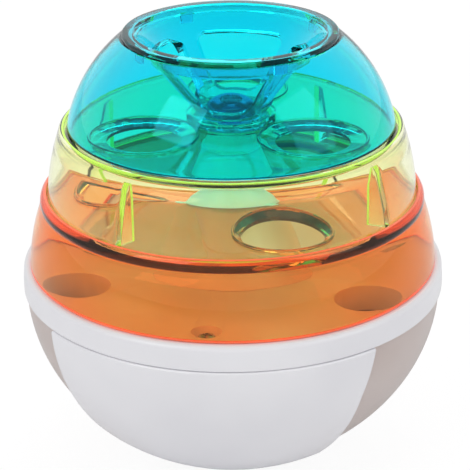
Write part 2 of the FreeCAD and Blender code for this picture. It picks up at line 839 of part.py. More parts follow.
makers = {
    "base_bowl": base_bowl,
    "foot_ring": foot_ring,
    "ballast_weight": ballast_weight,
    "ballast_cap": ballast_cap,
    "cap_screws": cap_screws,
    "base_band": base_band,
    "base_deck": base_deck,
    "deck_screws": deck_screws,
    "deck_cone": deck_cone,
    "lower_washer": lower_washer,
    "spindle": spindle,
    "spindle_screws": spindle_screws,
    "spindle_nut": spindle_nut,
    "drum_washer": drum_washer,
    "outlet_drum": outlet_drum,
    "cam_sleeve": cam_sleeve,
    "orange_ring": orange_ring,
    "orange_deck": orange_deck,
    "upper_cone": upper_cone,
    "upper_washer": upper_washer,
    "yellow_ring": yellow_ring,
    "yellow_deck": yellow_deck,
    "dome_shell": dome_shell,
    "funnel": funnel,
    "push_button": push_button,
    "push_rod": push_rod,
    "cam_pin": cam_pin,
    "button_spring": button_spring,
}

os.makedirs("parts", exist_ok=True)
for name, make in makers.items():
    shape = make()
    solids = len(shape.Solids)
    box = shape.BoundBox
    print("%-16s solids %d valid %s volume %.1f  z %.2f..%.2f  r %.2f" % (
        name, solids, shape.isValid(), shape.Volume, box.ZMin, box.ZMax, box.XMax))
    shape.exportStep("parts/%s.step" % name)
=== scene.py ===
import math

import bpy
from mathutils import Matrix, Vector


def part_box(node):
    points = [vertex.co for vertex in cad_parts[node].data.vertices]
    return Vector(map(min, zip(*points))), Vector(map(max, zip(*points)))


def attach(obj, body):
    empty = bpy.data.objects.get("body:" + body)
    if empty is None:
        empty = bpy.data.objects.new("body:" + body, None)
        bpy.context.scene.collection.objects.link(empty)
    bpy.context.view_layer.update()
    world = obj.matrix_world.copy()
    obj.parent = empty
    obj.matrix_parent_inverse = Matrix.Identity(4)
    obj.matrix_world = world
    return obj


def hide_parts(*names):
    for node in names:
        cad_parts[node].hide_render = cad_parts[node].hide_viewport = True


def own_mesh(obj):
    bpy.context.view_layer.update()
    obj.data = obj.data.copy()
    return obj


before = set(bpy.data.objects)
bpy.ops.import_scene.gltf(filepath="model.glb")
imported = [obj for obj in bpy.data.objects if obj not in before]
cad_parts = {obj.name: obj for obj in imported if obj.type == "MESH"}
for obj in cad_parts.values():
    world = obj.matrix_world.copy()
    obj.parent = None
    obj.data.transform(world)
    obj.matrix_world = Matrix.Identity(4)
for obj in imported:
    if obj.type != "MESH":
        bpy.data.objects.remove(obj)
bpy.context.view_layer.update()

# Treat dispenser: moulded plastics and their finishes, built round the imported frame.
# Metres. Azimuths are in degrees, measured from the front, which is -Y, towards +X.

mm = 0.001

# Heights read from the frame
band_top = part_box("base_band")[1].z
deck_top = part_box("base_deck")[1].z
drum_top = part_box("outlet_drum")[1].z
chute_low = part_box("base_deck")[0].z
orange_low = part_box("orange_ring")[0].z
orange_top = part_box("orange_ring")[1].z
yellow_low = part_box("yellow_ring")[0].z
yellow_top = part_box("yellow_ring")[1].z
dome_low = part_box("dome_shell")[0].z
dome_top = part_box("dome_shell")[1].z
lip_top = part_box("funnel")[1].z
button_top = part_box("push_button")[1].z
cone_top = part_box("upper_cone")[1].z

# Bowl
bowl_r = 73.6 * mm
bowl_depth = 66.4 * mm
bowl_centre = 64.5 * mm
bowl_top = 64.0 * mm
bowl_wall = 1.2 * mm
bowl_floor = 2.0 * mm
bowl_crowding = 1.4
foot_z = 0.8 * mm
foot_r = 17.5 * mm
foot_width = 5.0 * mm
foot_groove = 0.8 * mm
window_az = 82.0
window_half = 43.4
window_widen = 5.0
window_low = 8.6 * mm
window_reach = 1.1
window_bite = 3 * mm
parting = 0.4 * mm
parting_flat = 0.2 * mm

# Band and deck
band_r = 72.9 * mm
band_wall = 3.8 * mm
band_round = 1.9 * mm
band_swell = 0.1 * mm
band_lean = 0.2 * mm
band_bulge = 0.08 * mm
band_crown = 0.55 * mm
band_ledge_h = 4 * mm
band_ledge_slope = 0.4
ledge = 3.0 * mm
deck_thick = 2.0 * mm
chute_az = 52.0
chute_pitch = 55.5 * mm
chute_r = 11.0 * mm
chute_wall = 1.1 * mm
well_az = -8.2
well_pitch = 59.4 * mm
well_r = 5.7 * mm
well_depth = 3.2 * mm
well_wall = 0.8 * mm

# Screws, with their outline and cross recess as shares of the head
screw_r = 3.1 * mm
screw_h = 2.2 * mm
screw_shank = 1.4 * mm
screw_outline = ((1, 0), (1, 0.45), (0.8, 0.8), (0.4, 1))
cross_long = 1.2
cross_wide = 0.3
cross_h = 2.4 * mm
shank_long = 3.5 * mm
shank_sink = 0.3 * mm
shank_play = 0.1 * mm
screw_bore_h = 6 * mm

# Drum
drum_offset = 1.5 * mm
drum_inset = 1.0 * mm
drum_wall = 1.8 * mm
drum_skirt = 8.2 * mm
drum_floor = 22.9 * mm
drum_floor_edge = 44.0 * mm
drum_floor_h = 2 * mm
drum_hub_r = 11.0 * mm
drum_hub_top = 34.9 * mm
drum_hub_roof = 3 * mm
sleeve_r = 8.5 * mm
port_az = 20.0
port_half = 11.0
port_low = 26.9 * mm
port_high = 47.9 * mm

# Tiers
gap = 0.3 * mm
seat = 0.05 * mm
plate = 2.0 * mm
tier_ledge_h = 1.2 * mm
tier_ledge_drop = 4.2 * mm
spindle_hole = 5.1 * mm

# Orange tier, with its lip as distances out from the bore and down from the top
orange_foot = 70.4 * mm
orange_foot_in = 0.04 * mm
orange_foot_h = 0.7 * mm
orange_shoulder = 65.6 * mm
orange_shoulder_up = 21.5 * mm
orange_bulge = 0.8 * mm
orange_crown = 0.5 * mm
orange_lip = ((1.5 * mm, 0.8 * mm), (1.0 * mm, 0.2 * mm), (0.6 * mm, 0))
orange_lean = 0.6 * mm
orange_deck = 96.3 * mm
orange_wall = 2.0 * mm
orange_hole_az = 25.0
orange_hole_pitch = 38.0 * mm
orange_hole_r = 13.5 * mm
orange_dish = 2.0 * mm
# Depths of the bands of painted glow at the top and the foot of the orange wall
orange_glow_top = 0.35 * mm
orange_glow_foot = 0.55 * mm

# Yellow tier
yellow_foot = 63.2 * mm
yellow_shoulder = 58.5 * mm
yellow_bulge = 0.9 * mm
yellow_round = 1.6 * mm
yellow_crown = 0.45 * mm
yellow_wall = 2.0 * mm
yellow_hole_az = 56.0
yellow_hole_pitch = 32.0 * mm
yellow_hole_r = 12.3 * mm
yellow_dish = 5.0 * mm
# Depths of the bands of painted glow at the top and the foot of the yellow wall
yellow_glow_top = 0.12 * mm
yellow_glow_foot = 0.3 * mm
dome_seat = 0.9 * mm
rib_az = -36.0
rib_thick = 2.0 * mm
rib_depth = 3.0 * mm
rib_sink = 0.9 * mm
rib_below_deck = 2.5 * mm
# Depth of the painted glow on the inner faces of the ribs
rib_glow = 0.35 * mm
collar_r = 15.2 * mm
collar_wall = 1.6 * mm
collar_h = 3.2 * mm
lug_half = 12.0
lug_reach = 1.6 * mm
lug_h = 1.2 * mm
lug_sink = 0.5 * mm

# Dished holes, with the rim's outline as shares of its width and height
dish_depth = 1.0 * mm
dish_play = 0.02 * mm
rim = 1.0 * mm
rim_h = 0.8 * mm
rim_sink = 0.5 * mm
rim_outline = ((1, 0.6), (0.7, 1), (0.3, 1), (0, 0.6))

# Cones, with the bead as distances from the middle of its foot
deck_cone_foot = 27.0 * mm
deck_cone_top = 16.0 * mm
deck_cone_high = 93.0 * mm
upper_cone_foot = 16.0 * mm
upper_cone_top = 6.9 * mm
cone_wall = 2.0 * mm
cone_bore = 5.25 * mm
bead_up = 15.5 * mm
bead_outline = ((-1.2 * mm, -0.5 * mm), (0.6 * mm, -0.4 * mm), (0.8 * mm, 0), (0.6 * mm, 0.4 * mm),
                (-1.2 * mm, 0.5 * mm))
tab_azimuths = (-70, 59)
tab_half = 5
tab_in = 1.2 * mm
tab_out = 3.2 * mm
tab_h = 1 * mm

# Dome and funnel
dome_foot = 55.6 * mm
dome_rim = 36.6 * mm
dome_bulge = 3.1 * mm
dome_wall = 1.9 * mm
dome_top_wall = 2.85 * mm
lip_r = 36.1 * mm
lip_in = 31.5 * mm
lip_chamfer = 0.5 * mm
lip_land = 0.8 * mm
funnel_foot = 10.5 * mm
funnel_tube = 3.4 * mm
funnel_skirt = 1 * mm
funnel_lean = 0.2 * mm
funnel_mouth = 0.5 * mm
funnel_wall = 1.8 * mm
flange = 2.4 * mm
flange_h = 1.3 * mm
strut_az = 36.0
strut_w = 4.5 * mm
catch_half = 4
catch_in = 1.2 * mm
catch_h = 3 * mm
window_drop = 8.6 * mm
window_up = 3.0 * mm
window_round = 3.0 * mm

# Button and spring
button_r = 8.2 * mm
button_play = 0.25 * mm
button_skirt = 124.8 * mm
button_roof = 127.2 * mm
button_roof_slope = 0.4 * mm
button_wall = 1.3 * mm
button_crown = 1.1 * mm
button_tip = 0.3 * mm
stem_r = 3.3 * mm
stem_low = 115.7 * mm
rod_r = 1.5 * mm
rod_socket = 3 * mm

# Widths of the rounded edges
bowl_soften = 0.35 * mm
band_soften = 0.15 * mm
deck_soften = 0.3 * mm
cone_soften = 0.5 * mm
screw_soften = 0.12 * mm
drum_soften = 0.4 * mm
ring_soften = 0.25 * mm
plate_soften = 0.2 * mm
dome_soften = 0.3 * mm

# Camera of the photograph, in metres and degrees
camera_back = 542.5 * mm
camera_high = 316.6 * mm
camera_down = 23.63
camera_roll = -0.61
camera_lens = 130.2
camera_shift = 0.0053

# Floor and lights
floor_glow = 1.05
floor_glow_share = 0.86
light_aim = (0, 0, 0.08)

# Modelling: how far a cutter passes a face, how deep one piece sinks in another it joins
over = 1 * mm
sink = 0.2 * mm
same_point = 1e-6
weld_distance = 2e-6
spin_start = 90
steps = 160
fine_steps = 96
screw_steps = 48
shank_steps = 32


# Outlines of (r, z) points

def arc(start, end, bulge, count=14):
    """Points of an arc between two points, standing out by bulge to the right of the way up."""
    a = Vector(start)
    b = Vector(end)
    chord = b - a
    side = Vector((chord.y, -chord.x)).normalized()
    if side.x < 0:
        side = -side
    radius = (chord.length ** 2 / 4 + bulge ** 2) / (2 * bulge)
    centre = (a + b) / 2 + side * (bulge - radius)
    first = math.atan2(a.y - centre.y, a.x - centre.x)
    last = math.atan2(b.y - centre.y, b.x - centre.x)
    points = []
    for n in range(count + 1):
        angle = first + (last - first) * n / count
        points.append((centre.x + radius * math.cos(angle), centre.y + radius * math.sin(angle)))
    return points


def line(start, end, count):
    return [(start[0] + (end[0] - start[0]) * n / count, start[1] + (end[1] - start[1]) * n / count)
            for n in range(count + 1)]


def rectangle(inner, outer, low, high):
    return [(inner, low), (outer, low), (outer, high), (inner, high)]


def bowl_at(offset, z, inset=0.0):
    """Radius of the bowl's ellipse at a height, brought in by an offset and, in height, by an inset."""
    share = (z - bowl_centre) / (bowl_depth - offset - inset)
    return (bowl_r - offset) * math.sqrt(1 - share ** 2)


def bowl_curve(offset, low, high, inset=0.0, count=36):
    """Points up the bowl's ellipse, closer together near the foot."""
    points = []
    for n in range(count + 1):
        z = low + (high - low) * (n / count) ** bowl_crowding
        points.append((bowl_at(offset, z, inset), z))
    return points


def around(azimuth, count):
    """Azimuths of equal places round the axis, the first one given."""
    return [azimuth + 360 / count * n for n in range(count)]


# Modelling

def deselect():
    if bpy.context.object and bpy.context.object.mode != "OBJECT":
        bpy.ops.object.mode_set(mode="OBJECT")
    bpy.ops.object.select_all(action="DESELECT")


def take(piece):
    deselect()
    piece.select_set(True)
    bpy.context.view_layer.objects.active = piece


def apply_transform():
    bpy.ops.object.transform_apply(location=True, rotation=True, scale=True)


def turned(piece, degrees):
    take(piece)
    piece.rotation_euler.z = math.radians(degrees)
    apply_transform()
    return piece


def moved(piece, azimuth, pitch, z=0.0):
    angle = math.radians(azimuth)
    take(piece)
    piece.location = (pitch * math.sin(angle), -pitch * math.cos(angle), z)
    apply_transform()
    return piece


def draw_outline(name, outline, closed):
    """One vertex, extruded from point to point in the XZ plane. Ends in edit mode, all selected."""
    deselect()
    bpy.ops.mesh.primitive_plane_add(size=mm, location=(0, 0, 0))
    piece = bpy.context.object
    piece.name = name
    bpy.ops.object.mode_set(mode="EDIT")
    bpy.ops.mesh.select_mode(type="VERT")
    bpy.ops.mesh.select_all(action="SELECT")
    bpy.ops.mesh.merge(type="CENTER")
    bpy.ops.transform.translate(value=(outline[0][0], 0, outline[0][1]))
    route = list(outline)
    if closed:
        route.append(outline[0])
    last = route[0]
    for point in route[1:]:
        move = (point[0] - last[0], 0, point[1] - last[1])
        if math.hypot(move[0], move[2]) < same_point:
            continue
        bpy.ops.mesh.extrude_region_move(TRANSFORM_OT_translate={"value": move})
        last = point
    bpy.ops.mesh.select_all(action="SELECT")
    bpy.ops.mesh.remove_doubles(threshold=same_point)
    return piece


def tidy_mesh():
    bpy.ops.mesh.select_all(action="SELECT")
    bpy.ops.mesh.remove_doubles(threshold=weld_distance)
    bpy.ops.mesh.normals_make_consistent(inside=False)
    bpy.ops.object.mode_set(mode="OBJECT")


def lathe(name, outline, closed=True, count=steps):
    piece = draw_outline(name, outline, closed)
    bpy.ops.mesh.spin(steps=count, angle=math.tau, center=(0, 0, 0), axis=(0, 0, 1))
    tidy_mesh()
    return piece


def sweep(name, outline, azimuth, half, count=12):
    """Closed section turned through part of a circle, centred on an azimuth."""
    piece = draw_outline(name, outline, True)
    bpy.ops.mesh.edge_face_add()
    bpy.ops.mesh.spin(steps=count, angle=math.radians(2 * half), center=(0, 0, 0), axis=(0, 0, 1))
    tidy_mesh()
    return turned(piece, azimuth - half - spin_start)


def drill(name, azimuth, pitch, radius, low, high, count=64):
    deselect()
    bpy.ops.mesh.primitive_cylinder_add(vertices=count, radius=radius, depth=high - low, location=(0, 0, 0))
    piece = bpy.context.object
    piece.name = name
    return moved(piece, azimuth, pitch, (low + high) / 2)


def cube(name):
    deselect()
    bpy.ops.mesh.primitive_cube_add(size=1, location=(0, 0, 0))
    piece = bpy.context.object
    piece.name = name
    return piece


def combine(piece, other, operation):
    take(piece)
    tool = piece.modifiers.new("combine", "BOOLEAN")
    tool.operation = operation
    tool.solver = "EXACT"
    tool.object = other
    bpy.ops.object.modifier_apply(modifier=tool.name)
    take(other)
    bpy.ops.object.delete()
    return piece


def cut(piece, cutter):
    return combine(piece, cutter, "DIFFERENCE")


def add(piece, other):
    return combine(piece, other, "UNION")


def round_edges(piece, width, sharp=32, segments=3):
    take(piece)
    bevel = piece.modifiers.new("edges", "BEVEL")
    bevel.width = width
    bevel.segments = segments
    bevel.limit_method = "ANGLE"
    bevel.angle_limit = math.radians(sharp)
    bevel.harden_normals = False
    bpy.ops.object.modifier_apply(modifier=bevel.name)
    bpy.ops.object.shade_smooth_by_angle(angle=math.radians(sharp))
    return piece


def install(piece, body, node, material):
    piece.data.materials.clear()
    piece.data.materials.append(material)
    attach(piece, body)
    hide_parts(node)
    return piece


def put_painted_glow(piece, material, test):
    """Gives a second material, the painted edge glow, to the faces whose centre passes a test of its radius
    and height.
    """
    piece.data.materials.append(material)
    index = len(piece.data.materials) - 1
    for face in piece.data.polygons:
        centre = face.center
        if test(math.hypot(centre.x, centre.y), centre.z):
            face.material_index = index


# Materials

def new_material(name):
    material = bpy.data.materials.new(name)
    material.use_nodes = True
    tree = material.node_tree
    shader = tree.nodes["Principled BSDF"]
    return material, tree, shader


def object_noise(tree, scale, detail=2.0):
    coordinates = tree.nodes.new("ShaderNodeTexCoord")
    noise = tree.nodes.new("ShaderNodeTexNoise")
    noise.inputs["Scale"].default_value = scale
    noise.inputs["Detail"].default_value = detail
    tree.links.new(coordinates.outputs["Object"], noise.inputs["Vector"])
    return noise.outputs["Fac"]


def blend_colours(tree, factor, first, second):
    ramp = tree.nodes.new("ShaderNodeValToRGB")
    ramp.color_ramp.elements[0].position = 0.35
    ramp.color_ramp.elements[1].position = 0.65
    ramp.color_ramp.elements[0].color = (*first, 1)
    ramp.color_ramp.elements[1].color = (*second, 1)
    tree.links.new(factor, ramp.inputs["Fac"])
    return ramp.outputs["Color"]


def surface_bump(tree, shader, scale, strength, distance):
    noise = object_noise(tree, scale, detail=3.0)
    bump = tree.nodes.new("ShaderNodeBump")
    bump.inputs["Strength"].default_value = strength
    bump.inputs["Distance"].default_value = distance
    tree.links.new(noise, bump.inputs["Height"])
    tree.links.new(bump.outputs["Normal"], shader.inputs["Normal"])


def show_mix(tree, first, second):
    """Sends a mix of two shaders to the material's output. Returns the socket of the second's share."""
    mix = tree.nodes.new("ShaderNodeMixShader")
    tree.links.new(first, mix.inputs[1])
    tree.links.new(second, mix.inputs[2])
    tree.links.new(mix.outputs["Shader"], tree.nodes["Material Output"].inputs["Surface"])
    return mix.inputs["Fac"]


def larger(tree, first, second):
    node = tree.nodes.new("ShaderNodeMath")
    node.operation = "MAXIMUM"
    tree.links.new(first, node.inputs[0])
    tree.links.new(second, node.inputs[1])
    return node.outputs["Value"]


def clear_plastic(name, deep, light, shadow, sheen_tint, roughness=0.03, gloss=0.3):
    """Tinted clear moulding: refracts, and lets its own colour of light through to what it covers."""
    material, tree, shader = new_material(name)
    colour = blend_colours(tree, object_noise(tree, scale=18), deep, light)
    tree.links.new(colour, shader.inputs["Base Color"])
    shader.inputs["Roughness"].default_value = roughness
    shader.inputs["IOR"].default_value = 1.49
    shader.inputs["Transmission Weight"].default_value = 1.0
    shader.inputs["Specular IOR Level"].default_value = gloss
    shader.inputs["Specular Tint"].default_value = (*sheen_tint, 1)
    surface_bump(tree, shader, scale=60, strength=0.04, distance=0.0004)
    path = tree.nodes.new("ShaderNodeLightPath")
    thin = tree.nodes.new("ShaderNodeBsdfTransparent")
    thin.inputs["Color"].default_value = (*shadow, 1)
    share = show_mix(tree, shader.outputs["BSDF"], thin.outputs["BSDF"])
    tree.links.new(path.outputs["Is Shadow Ray"], share)
    return material


def solid_plastic(name, first, second, roughness, grain=90, relief=0.00015, coat=0.0, soft=0.0):
    material, tree, shader = new_material(name)
    colour = blend_colours(tree, object_noise(tree, scale=25), first, second)
    tree.links.new(colour, shader.inputs["Base Color"])
    rough_map = tree.nodes.new("ShaderNodeMapRange")
    rough_map.inputs["To Min"].default_value = roughness - 0.04
    rough_map.inputs["To Max"].default_value = roughness + 0.04
    tree.links.new(object_noise(tree, scale=140, detail=4.0), rough_map.inputs["Value"])
    tree.links.new(rough_map.outputs["Result"], shader.inputs["Roughness"])
    shader.inputs["Coat Weight"].default_value = coat
    shader.inputs["Subsurface Weight"].default_value = soft
    shader.inputs["Subsurface Scale"].default_value = 0.004
    surface_bump(tree, shader, scale=grain, strength=0.08, distance=relief)
    return material


def frosted_plastic(name, first, second, through):
    """Cloudy moulding: part of the light that falls on one side shows on the other."""
    material = solid_plastic(name, first, second, roughness=0.3, coat=0.3)
    tree = material.node_tree
    shader = tree.nodes["Principled BSDF"]
    inside = tree.nodes.new("ShaderNodeBsdfTranslucent")
    inside.inputs["Color"].default_value = (*through, 1)
    share = show_mix(tree, shader.outputs["BSDF"], inside.outputs["BSDF"])
    share.default_value = 0.3
    return material


def metal(name, colour, roughness, scale):
    material, tree, shader = new_material(name)
    darker = tuple(c * 0.8 for c in colour)
    tint = blend_colours(tree, object_noise(tree, scale, detail=6.0), darker, colour)
    tree.links.new(tint, shader.inputs["Base Color"])
    shader.inputs["Metallic"].default_value = 1.0
    shader.inputs["Roughness"].default_value = roughness
    surface_bump(tree, shader, scale, strength=0.15, distance=0.00008)
    return material


def painted_edge_glow(name, colour, strength):
    """Painted glow for the edges of a tinted moulding: an emission in its colour stands in for the light that
    such an edge gathers and shines with.
    """
    material, tree, shader = new_material(name)
    darker = tuple(c * 0.82 for c in colour)
    tint = blend_colours(tree, object_noise(tree, scale=30), darker, colour)
    tree.links.new(tint, shader.inputs["Base Color"])
    tree.links.new(tint, shader.inputs["Emission Color"])
    shader.inputs["Emission Strength"].default_value = strength
    shader.inputs["Roughness"].default_value = 0.15
    surface_bump(tree, shader, scale=60, strength=0.05, distance=0.0002)
    return material


white_shell = solid_plastic("white_shell", (0.80, 0.795, 0.83), (0.84, 0.835, 0.865),
                            roughness=0.32, coat=0.15)
drum_plastic = frosted_plastic("drum_plastic", (0.70, 0.60, 0.57), (0.76, 0.68, 0.66),
                               through=(0.95, 0.9, 0.86))
milky_plastic = solid_plastic("milky_plastic", (0.86, 0.93, 0.88), (0.9, 0.96, 0.92),
                              roughness=0.35, soft=0.3)
grey_plastic = solid_plastic("grey_plastic", (0.66, 0.67, 0.68), (0.72, 0.73, 0.74), roughness=0.4)
bearing_plastic = solid_plastic("bearing_plastic", (0.84, 0.83, 0.78), (0.88, 0.87, 0.83), roughness=0.35)
foot_rubber = solid_plastic("foot_rubber", (0.42, 0.42, 0.44), (0.48, 0.48, 0.5), roughness=0.7, grain=300)
blue_clear = clear_plastic("blue_clear", (0.004, 0.80, 0.95), (0.01, 0.84, 0.97),
                           shadow=(0.55, 0.96, 0.99), sheen_tint=(0.12, 0.85, 1.0))
yellow_clear = clear_plastic("yellow_clear", (0.94, 0.97, 0.60), (0.96, 0.98, 0.68),
                             shadow=(0.98, 0.985, 0.90), sheen_tint=(1.0, 1.0, 0.75))
orange_clear = clear_plastic("orange_clear", (1.0, 0.40, 0.12), (1.0, 0.46, 0.16),
                             shadow=(1.0, 0.90, 0.80), sheen_tint=(1.0, 0.62, 0.48))
button_blue = clear_plastic("button_blue", (0.01, 0.22, 0.42), (0.02, 0.28, 0.48),
                            shadow=(0.05, 0.3, 0.5), sheen_tint=(0.1, 0.6, 0.9), roughness=0.08)
# Painted glow: emissive colours for the edge faces of the yellow and orange mouldings
yellow_painted_glow = painted_edge_glow("yellow_painted_glow", (0.66, 0.98, 0.10), strength=0.35)
orange_painted_glow = painted_edge_glow("orange_painted_glow", (1.0, 0.16, 0.06), strength=0.25)
screw_steel = metal("screw_steel", (0.62, 0.62, 0.63), roughness=0.3, scale=400)
rod_steel = metal("rod_steel", (0.7, 0.7, 0.71), roughness=0.22, scale=500)
weight_iron = metal("weight_iron", (0.28, 0.28, 0.29), roughness=0.55, scale=200)


# White base

def make_bowl():
    outer = bowl_curve(0, foot_z, bowl_top - parting)
    inner = bowl_curve(bowl_wall, foot_z + bowl_floor, bowl_top)
    outline = ([(0, foot_z)] + outer + [(bowl_r - parting, bowl_top)] + inner[::-1]
               + [(0, foot_z + bowl_floor)])
    bowl = lathe("bowl_shell", outline, closed=False)
    cut(bowl, lathe("foot_slot", rectangle(foot_r - foot_width, foot_r, -over, foot_z + foot_groove)))
    for azimuth in around(window_az, 2):
        cut(bowl, side_window(azimuth))
    round_edges(bowl, bowl_soften)
    return install(bowl, "base", "base_bowl", white_shell)


def side_window(azimuth):
    """Cutter for a side window: a block from the axis outwards whose sides follow two azimuths."""
    far = bowl_r * window_reach
    near = bowl_at(bowl_wall, window_low) - window_bite
    high = bowl_top + over
    block = cube("side_window")
    for vertex in block.data.vertices:
        z = window_low if vertex.co.z < 0 else high
        half = window_half + (window_widen if vertex.co.z < 0 else 0)
        reach = far if vertex.co.y < 0 else near
        side = 1 if vertex.co.x > 0 else -1
        vertex.co = (side * reach * math.tan(math.radians(half)), -reach, z)
    return turned(block, azimuth)


def make_band():
    inner = band_r - band_wall
    ledge_top = deck_top - deck_thick
    ledge_low = ledge_top - band_ledge_h
    widest = band_r + band_swell
    shoulder = (band_r - band_lean, band_top - band_round)
    outline = [(inner - ledge, ledge_low), (inner, ledge_low - ledge * band_ledge_slope), (inner, bowl_top),
               (band_r - parting, bowl_top), (widest, bowl_top + parting)]
    outline += arc((widest, bowl_top + parting + parting_flat), shoulder, band_bulge, count=6)
    outline += arc(shoulder, (shoulder[0] - band_round, band_top), band_crown, count=8)
    outline += [(inner, band_top), (inner, ledge_top), (inner - ledge, ledge_top)]
    band = lathe("band_ring", outline)
    for azimuth in around(chute_az, 3):
        cut(band, drill("chute_room", azimuth, chute_pitch, chute_r + chute_wall + seat,
                        bowl_top, ledge_top + over, fine_steps))
    round_edges(band, band_soften)
    return install(band, "base", "base_band", white_shell)


def make_deck():
    radius = band_r - band_wall - seat
    well_low = deck_top - well_depth
    above = deck_top + over
    deck = lathe("base_floor", rectangle(spindle_hole, radius, deck_top - deck_thick, deck_top))
    places = list(zip(around(well_az, 3), around(chute_az, 3)))
    for well, chute in places:
        add(deck, drill("cup", well, well_pitch, well_r, well_low - well_wall, deck_top - sink))
        add(deck, drill("chute", chute, chute_pitch, chute_r + chute_wall, chute_low, deck_top - sink,
                        fine_steps))
    for well, chute in places:
        cut(deck, drill("well_bore", well, well_pitch, well_r - well_wall, well_low, above))
        cut(deck, drill("screw_bore", well, well_pitch, screw_shank + shank_play, deck_top - screw_bore_h,
                        above, shank_steps))
        cut(deck, drill("chute_bore", chute, chute_pitch, chute_r, chute_low - over, above, fine_steps))
    round_edges(deck, deck_soften)
    return install(deck, "base", "base_deck", white_shell)


def cone_outline(foot, top, low, high, bore):
    roof = high - cone_wall
    slope = (foot - top) / (high - low)
    return (line((foot, low), (top, high), count=6)
            + [(bore, high), (bore, roof), (top + slope * cone_wall - cone_wall, roof),
               (foot - cone_wall, low)])


def make_deck_cone():
    cone = lathe("deck_cone_white", cone_outline(deck_cone_foot, deck_cone_top, deck_top, deck_cone_high,
                                                 cone_bore))
    round_edges(cone, cone_soften)
    return install(cone, "base", "deck_cone", white_shell)


def make_deck_screws():
    """Round-headed screws with a cross recess, at the bottom of the wells."""
    low = deck_top - well_depth
    high = low + screw_h
    outline = [(0, low)] + [(screw_r * r, low + screw_h * h) for r, h in screw_outline] + [(0, high)]
    screws = []
    for azimuth in around(well_az, 3):
        head = lathe("deck_screw", outline, closed=False, count=screw_steps)
        for turn in (0, 90):
            bar = cube("cross")
            bar.location.z = high
            bar.scale = (screw_r * cross_long, screw_r * cross_wide, cross_h)
            cut(head, turned(bar, turn + well_az))
        add(head, drill("shank", 0, 0, screw_shank, low - shank_long, low + shank_sink, shank_steps))
        screws.append(moved(head, azimuth, well_pitch))
    take(screws[0])
    for screw in screws[1:]:
        screw.select_set(True)
    bpy.ops.object.join()
    round_edges(screws[0], screw_soften)
    return install(screws[0], "base", "deck_screws", screw_steel)


# Drum

def make_drum():
    inner = drum_offset + drum_wall
    under = drum_floor - drum_floor_h
    floor_in = drum_floor_edge - drum_floor_h
    wall = bowl_curve(drum_offset, drum_skirt, drum_top, drum_inset)
    upper = bowl_curve(inner, drum_floor, drum_top, drum_inset, count=24)
    lower = bowl_curve(inner, drum_skirt, under, drum_inset, count=10)
    outline = (wall + upper[::-1]
               + [(drum_floor_edge, drum_floor), (drum_hub_r, drum_hub_top), (sleeve_r, drum_hub_top),
                  (sleeve_r, under), (drum_hub_r, under), (drum_hub_r, drum_hub_top - drum_hub_roof),
                  (floor_in, under)]
               + lower[::-1])
    drum = lathe("inner_bowl", outline)
    for azimuth in around(port_az, 2):
        cut(drum, sweep("port", rectangle(floor_in, bowl_r, port_low, port_high), azimuth, port_half))
    round_edges(drum, drum_soften)
    return install(drum, "drum", "outlet_drum", drum_plastic)


# Tiers

def dished_plate(name, radius, top, hole_az, pitch, hole_r, dish):
    """Deck with three dished holes, each inside a low raised rim."""
    low = top - plate
    deck = lathe(name, rectangle(spindle_hole, radius, low, top))
    outer = hole_r + dish
    rim_points = [(outer, top - rim_sink), (outer + rim, top - rim_sink)]
    rim_points += [(outer + rim * r, top + rim_h * h) for r, h in rim_outline]
    bore_points = [(0, low - over), (hole_r, low - over), (hole_r, top - dish_depth),
                   (outer + dish_play, top), (outer + dish_play, top + 2 * over), (0, top + 2 * over)]
    for azimuth in around(hole_az, 3):
        add(deck, moved(lathe("rim", rim_points, count=fine_steps), azimuth, pitch))
    for azimuth in around(hole_az, 3):
        cut(deck, moved(lathe("bore", bore_points, closed=False, count=fine_steps), azimuth, pitch))
    return deck


def make_orange_ring():
    foot = (orange_foot, orange_low)
    shoulder = (orange_shoulder, orange_low + orange_shoulder_up)
    bore = yellow_foot + gap
    low = orange_deck - plate
    inner_top = (bore - orange_lean, low - tier_ledge_drop)
    inner_foot = (orange_foot - orange_wall, orange_low)
    lip = [(bore + out, orange_top - down) for out, down in orange_lip]
    outline = [foot] + arc((orange_foot - orange_foot_in, orange_low + orange_foot_h), shoulder, orange_bulge,
                           count=12)
    outline += arc(shoulder, lip[0], orange_crown, count=6)
    outline += lip[1:]
    outline += [(bore, orange_top), (bore, low), (bore - ledge, low), (bore - ledge, low - tier_ledge_h)]
    outline += arc(inner_foot, inner_top, orange_crown, count=10)[::-1]
    ring = lathe("orange_wall_ring", outline)
    round_edges(ring, ring_soften)
    install(ring, "orange_tier", "orange_ring", orange_clear)
    # Painted glow on the faces at the top and the foot of the wall
    put_painted_glow(ring, orange_painted_glow,
               lambda r, z: z > orange_top - orange_glow_top or z < orange_low + orange_glow_foot)
    return ring


def make_orange_deck():
    deck = dished_plate("orange_floor", yellow_foot + gap - seat, orange_deck, orange_hole_az,
                        orange_hole_pitch, orange_hole_r, orange_dish)
    round_edges(deck, plate_soften)
    return install(deck, "orange_tier", "orange_deck", orange_clear)


def make_upper_cone():
    cone = lathe("milky_cone", cone_outline(upper_cone_foot, upper_cone_top, orange_deck, cone_top,
                                            cone_bore))
    z = orange_deck + bead_up
    r = upper_cone_foot + (upper_cone_top - upper_cone_foot) * bead_up / (cone_top - orange_deck)
    add(cone, lathe("bead", [(r + out, z + up) for out, up in bead_outline]))
    section = rectangle(upper_cone_foot - tab_in, upper_cone_foot + tab_out, orange_deck, orange_deck + tab_h)
    for azimuth in tab_azimuths:
        add(cone, sweep("tab", section, azimuth, tab_half))
    round_edges(cone, ring_soften)
    return install(cone, "orange_tier", "upper_cone", milky_plastic)


